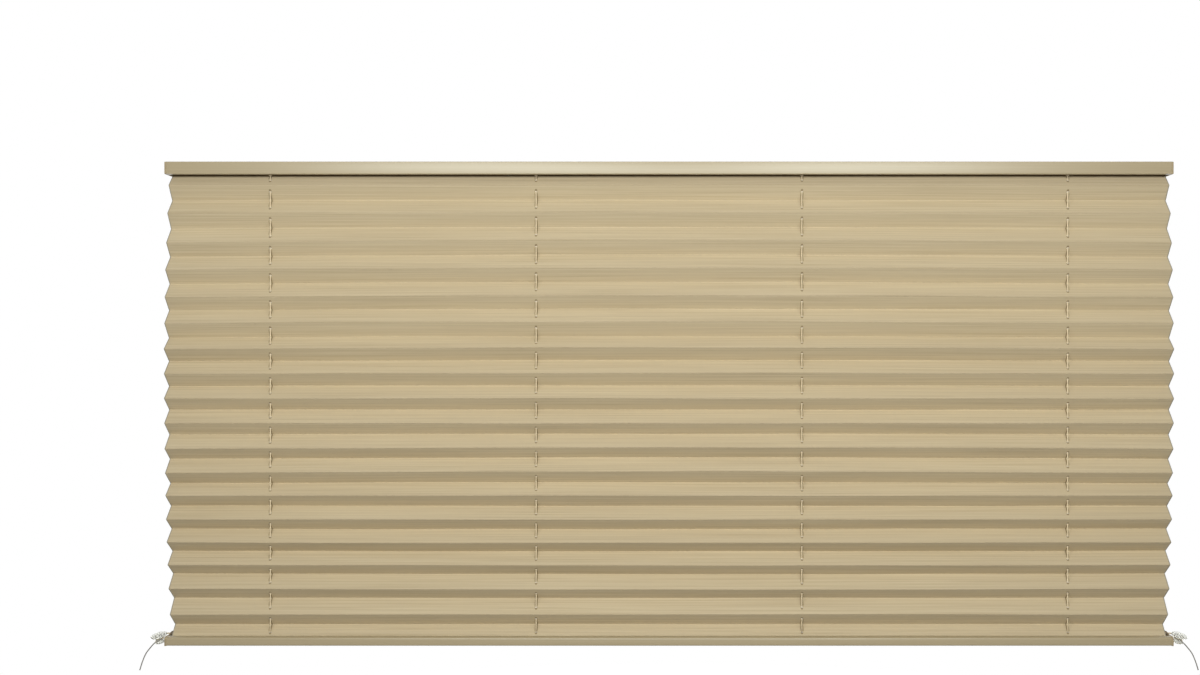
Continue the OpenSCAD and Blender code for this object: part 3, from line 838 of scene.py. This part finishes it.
SPOOL_BORE_R, LOW_FLANGE_R, TOP_FLANGE_R = 0.0021, 0.0070, 0.0100
FLANGE_T = 0.0016
waist_low, waist_high = -0.0034, 0.0034
# Half of the section, as radius and height: from the foot of the bore round to it again
spool_outline = [
    (SPOOL_BORE_R, waist_low - FLANGE_T), (0.0066, waist_low - FLANGE_T),
    (LOW_FLANGE_R, waist_low - 0.0012), (LOW_FLANGE_R, waist_low - 0.0004), (0.0066, waist_low),
    (0.0048, waist_low), (WAIST_R, waist_low + 0.0003), (WAIST_R, waist_high - 0.0003),
    (0.0048, waist_high), (0.0096, waist_high), (TOP_FLANGE_R, waist_high + 0.0004),
    (TOP_FLANGE_R, waist_high + 0.0012), (0.0094, waist_high + FLANGE_T),
    (0.0078, waist_high + 0.0019), (0.0060, waist_high + 0.00216), (0.0037, waist_high + 0.0024),
    (SPOOL_BORE_R, waist_high + FLANGE_T), (SPOOL_BORE_R, waist_low - FLANGE_T)]
spool = drawn_line("clear_spool_right", [(r, 0, h) for r, h in spool_outline])
edit(spool)
bpy.ops.mesh.spin(steps=72, angle=math.tau, center=(0, 0, 0), axis=(0, 0, 1))
done()
outward(spool)
rounded(spool, 0.00018, 2, 30)
smooth(spool, 30)
spool.matrix_world = (Matrix.Translation(SPOOL_AT) @ Matrix.Rotation(SPOOL_LEAN, 4, "Y")
                      @ Matrix.Rotation(SPOOL_TILT, 4, "X"))
settle(spool)
spool_left = mirror_copy(spool, "clear_spool_left")
finished(spool, CLEAR, "clear_plastic", "foot", "tie_down_spool_right")
finished(spool_left, CLEAR, "clear_plastic", "foot", "tie_down_spool_left")


# ---------------------------------------------------------------- cloth

# In millimetres, for each pleat from the top: its drop, how far its ridge hangs below
# the middle of that drop, and how much the ridge rises in the middle of the width
PLEAT_DROP = (36, 36, 36, 34, 34, 35, 29.5, 31.5, 30.5, 31.5, 31, 31, 29, 29, 28, 29, 31, 33.5)
RIDGE_SAG = (0.0, -0.3, 1.0, 0.0, 0.2, -0.9, -0.6, -0.1, 0.2,
             0.6, 1.5, 0.9, -0.2, 0.7, 0.9, 0.8, 1.3, 1.6)
RIDGE_RISE = (0.4, 1.4, 4.0, 2.6, 2.0, 2.4, 2.0, 0.7, 0.2,
              0.3, 1.8, 1.8, 0.3, 0.0, -0.8, -1.0, -0.8, 0.5)
END_DROP = 13.2
PLEATS = len(PLEAT_DROP)
HANG_TOP, HANG_END = -HEAD_H + TUCK_TOP, FOOT_TOP - TUCK_FOOT
drop_fit = (HANG_TOP - HANG_END) / (sum(PLEAT_DROP) + END_DROP)
# Rows at a fold: steps of a crease's half width from it, and their share of its mark
CREASE = 0.0006
CREASE_ROWS = ((-2.6, 0.0), (-1.0, 0.6), (0.0, 1.0), (1.0, 0.6), (2.6, 0.0))
# Rows between folds, as parts of a leaf, and where the last leaf is parted
LEAF_ROWS = (0.3, 0.5, 0.7)
PARTING = 0.53
# The cloth's sides: half the width where it spreads most, the height of that place,
# and by how much it draws in over what reach above and below
SPREAD_HALF, SPREAD_Z = 0.6378, -0.25
DRAWN_ABOVE, DRAWN_BELOW = (0.0062, 0.235), (0.0078, 0.330)
# Places across, from -1 to 1: near the sides and where the end leaf is trimmed
CUT_AT = (RAIL_LEN / 2 - STRIP_CUT) / (CLOTH_W / 2)
NEAR_SIDES = (1.0, 0.9993, 0.9975, CUT_AT)
SELVAGE_AT = 0.9992


def fold_points():
    """The cloth's fold line as (y, z, rise, fold): fold is 1 at a ridge and -1 at a rear fold."""
    half = [drop_fit * drop / 2 for drop in PLEAT_DROP]
    depth = [math.sqrt(LEAF ** 2 - h ** 2) for h in half]
    turn_y = HALF_SLOT - SLOT_PLAY - CLOTH_T
    points = [(-STRIP_EDGE, TOP_LEAF_Z, 0, 0), (turn_y, TOP_LEAF_Z, 0, -1)]
    z = HANG_TOP
    for k in range(PLEATS):
        rise = RIDGE_RISE[k] / 1000
        next_rise = RIDGE_RISE[k + 1] / 1000 if k + 1 < PLEATS else 0.0
        points.append((-depth[k] / 2, z - half[k] - RIDGE_SAG[k] / 1000, rise, 1))
        z -= 2 * half[k]
        rear_y = (depth[k] + depth[min(k + 1, PLEATS - 1)]) / 4
        points.append((rear_y, z, (rise + next_rise) / 2, -1))
    return points + [(-turn_y, LOW_LEAF_Z, 0, 1), (STRIP_EDGE, LOW_LEAF_Z, 0, 0)]


def cloth_rows():
    """Rows along the cloth: (y, z, rise, fold, length), closer together at each fold.

    Also the number of the row on the last leaf below which the cloth goes with the bottom rail.
    """
    points = [(Vector((y, z)), rise, fold) for y, z, rise, fold in fold_points()]
    last = len(points) - 1
    rows, run, parting = [], 0.0, 0
    for i, (here, rise, fold) in enumerate(points):
        run += (here - points[i - 1][0]).length if i else 0.0
        if 0 < i < last:
            back = (points[i - 1][0] - here).normalized()
            on = (points[i + 1][0] - here).normalized()
            crease = CREASE if i < last - 1 else CREASE / 2
            for step, mark in CREASE_ROWS:
                at = here + crease * (-step * back if step < 0 else step * on)
                if not step:
                    at = here + (back + on) * crease * 0.25
                rows.append((at.x, at.y, rise, fold * mark, run + step * crease))
        else:
            rows.append((here.x, here.y, rise, 0.0, run))
        if i < last:
            ahead, next_rise, _ = points[i + 1]
            drop = here.y - ahead.y
            parts = LEAF_ROWS
            if i == 1:
                # The first leaf has two rows where it comes out of the head rail
                out = here.y + HEAD_H
                parts = ((out + 0.0001) / drop, (out + 0.0016) / drop, LEAF_ROWS[-1])
            elif i == last - 2:
                # The last leaf has a row where it goes in between the bottom rail's lips
                parts = (LEAF_ROWS[0], PARTING, (here.y - (FOOT_LIP + 0.0006)) / drop)
            for part in parts:
                if part == PARTING:
                    parting = len(rows)
                at = here.lerp(ahead, part)
                rows.append((at.x, at.y, rise + (next_rise - rise) * part, 0.0,
                             run + (ahead - here).length * part))
    return rows, parting


def side_half(z):
    """Half the cloth's width at a height: it spreads where the pleats are free."""
    loss, reach = DRAWN_ABOVE if z > SPREAD_Z else DRAWN_BELOW
    return SPREAD_HALF - loss * ((z - SPREAD_Z) / reach) ** 2


def wander(x, v):
    """The small unevenness of a hung cloth: about a third of a millimetre."""
    return 0.00018 * (math.sin(5.1 * x + 37 * v) + 0.7 * math.sin(11.3 * x - 71 * v + 1.3)
                      + 0.5 * math.sin(23.0 * x + 113 * v + 0.4))


def folded_sheet(name, rows):
    """A stretch of the folded sheet, without thickness."""
    stops = sorted({s * side for s in NEAR_SIDES for side in (-1, 1)}
                   | {-0.99 + 1.98 * i / 90 for i in range(91)})
    verts, marks, cut, head_rail_shaded, uvs = [], [], [], [], []
    middle = (HANG_TOP + HANG_END) / 2
    for y, z, rise, fold, run in rows:
        free = max(0.0, 1 - abs((z - middle) / (HANG_TOP - middle)) ** 10)
        for s in stops:
            x = s * side_half(z)
            lift = rise * (1 - s * s) + wander(x, run)
            verts.append((x, y + 0.6 * free * wander(x + 3.0, run), z + free * lift))
            marks.append(fold)
            cut.append(1.0 if abs(s) > SELVAGE_AT else 0.0)
            # Cloth inside the head rail and half a millimetre below it gets painted shade
            head_rail_shaded.append(1.0 if z > -HEAD_H - 0.0005 else 0.0)
            uvs.append((x + 1.0, run))
    wide = len(stops)
    in_rail = [z < FOOT_LIP + 0.0005 for _, z, *_ in rows]
    faces = [(i * wide + k, i * wide + k + 1, (i + 1) * wide + k + 1, (i + 1) * wide + k)
             for i in range(len(rows) - 1) for k in range(wide - 1)
             if not (in_rail[i + 1] and max(-stops[k], stops[k + 1]) > CUT_AT + 1e-6)]
    mesh = bpy.data.meshes.new(name)
    mesh.from_pydata(verts, [], faces)
    for mark, values in (("fold", marks), ("selvage", cut), ("head_rail_shade", head_rail_shaded)):
        mesh.attributes.new(mark, "FLOAT", "POINT").data.foreach_set("value", values)
    weave = mesh.uv_layers.new(name="weave")
    for loop in mesh.loops:
        weave.data[loop.index].uv = uvs[loop.vertex_index]
    sheet = bpy.data.objects.new(name, mesh)
    scene.collection.objects.link(sheet)
    edit(sheet)
    bpy.ops.mesh.delete_loose()
    done()
    return changed(sheet, "SOLIDIFY", thickness=CLOTH_T, offset=0.0,
                   use_even_offset=True, use_quality_normals=True)


def punched(sheet, tucked_z):
    """Holes for the cords, and wider ones for the guides in the leaf that a rail holds."""
    high, low = -HEAD_H, HANG_END
    for x in CORD_LINES:
        cut_with(sheet, rod(PUNCH_D, high - low, (x, CORD_Y, (high + low) / 2), sides=16))
        cut_with(sheet, rod(GUIDE_HOLE, 0.002, (x, CORD_Y, tucked_z), sides=16))
    return smooth(sheet, 25)


rows, parting = cloth_rows()
cloth = punched(folded_sheet("pleated_cloth", rows[:parting + 1]), TOP_LEAF_Z)
finished(cloth, CLOTH, "cloth", "head", "pleated_fabric")
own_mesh(cloth)

# The end of the last leaf stays in the bottom rail and rises with it
foot_leaf = punched(folded_sheet("cloth_foot_leaf", rows[parting:]), LOW_LEAF_Z)
finished(foot_leaf, CLOTH, "cloth", "foot")


# ---------------------------------------------------------------- the other solids' finishes

slots = {part["node"]: part["material_slot"] for part in frame["record"]["subparts"]}
for node, piece in frame["nodes"].items():
    finish = FINISH_OF_SLOT[slots[node]]
    if not piece.material_slots:
        piece.data.materials.append(finish)
    for place in piece.material_slots:
        place.material = finish


# ---------------------------------------------------------------- floor, light and background

def floor_finish():
    """Pale floor that fades to white at its rim and keeps the blind's shadow."""
    finish, nodes, links, shader = new_finish("pale_floor", 0.9, 0.0)
    place = on_object(nodes)
    distance = add(nodes, "ShaderNodeVectorMath", operation="LENGTH")
    links.new(mapped(nodes, links, place, (1.0, 1.0, 0.0)), distance.inputs[0])
    fade = figured(nodes, links, "MULTIPLY_ADD", distance.outputs["Value"], 0.14, 0.56)
    grey = graded(nodes, links, noise(nodes, links, place, 3.0),
                  ((0.3, (0.46, 0.46, 0.46)), (0.7, (0.50, 0.50, 0.50))))
    links.new(grey, shader.inputs["Base Color"])
    shader.inputs["Emission Color"].default_value = (1.0, 1.0, 1.0, 1.0)
    glow = figured(nodes, links, "MULTIPLY", fade, in_view(nodes, links))
    links.new(glow, shader.inputs["Emission Strength"])
    return finish


bpy.ops.object.select_all(action="DESELECT")
bpy.ops.mesh.primitive_circle_add(vertices=96, radius=3.0, fill_type="NGON", location=(0, 0, -1.3))
floor = settle(bpy.context.object)
floor.name = floor.data.name = "floor"
floor.data.materials.append(floor_finish())

AMBIENT = 0.285
world = bpy.data.worlds.new("studio")
world.use_nodes = True
scene.world = world
nodes, links = world.node_tree.nodes, world.node_tree.links
surround = nodes["Background"]
surround.inputs["Color"].default_value = (1.0, 1.0, 1.0, 1.0)
# White where it is seen, and a low plain light on the blind
strength = figured(nodes, links, "MULTIPLY_ADD", in_view(nodes, links), 1.0 - AMBIENT, AMBIENT)
links.new(strength, surround.inputs["Strength"])


def softbox(name, size, power, at, towards):
    """An area lamp: its size, its power in watts, its place and what it points at."""
    data = bpy.data.lights.new(name, "AREA")
    data.shape = "RECTANGLE"
    data.size, data.size_y = size
    data.energy = power
    lamp = bpy.data.objects.new(name, data)
    lamp.location = at
    lamp.rotation_euler = (Vector(towards) - Vector(at)).to_track_quat("-Z", "Y").to_euler()
    scene.collection.objects.link(lamp)


KEY_SIZE = (0.12, 0.12)
CLOTH_MIDDLE = (0.0, 0.0, -0.3)
softbox("key_softbox_left", KEY_SIZE, 6.7, (-0.2, -2.2, -0.05), CLOTH_MIDDLE)
softbox("key_softbox_right", KEY_SIZE, 3.5, (0.5, -2.2, -0.05), CLOTH_MIDDLE)
softbox("rear_softbox", (0.9, 0.5), 20.0, (0.3, 2.0, 0.25), CLOTH_MIDDLE)
for side, hand in ((-1, "left"), (1, "right")):
    softbox("front_softbox_" + hand, (0.66, 0.20), 6.0,
            (side * 0.55, -1.15, 0.08), (side * 0.35, 0.0, -0.25))

scene.view_settings.view_transform = "Standard"
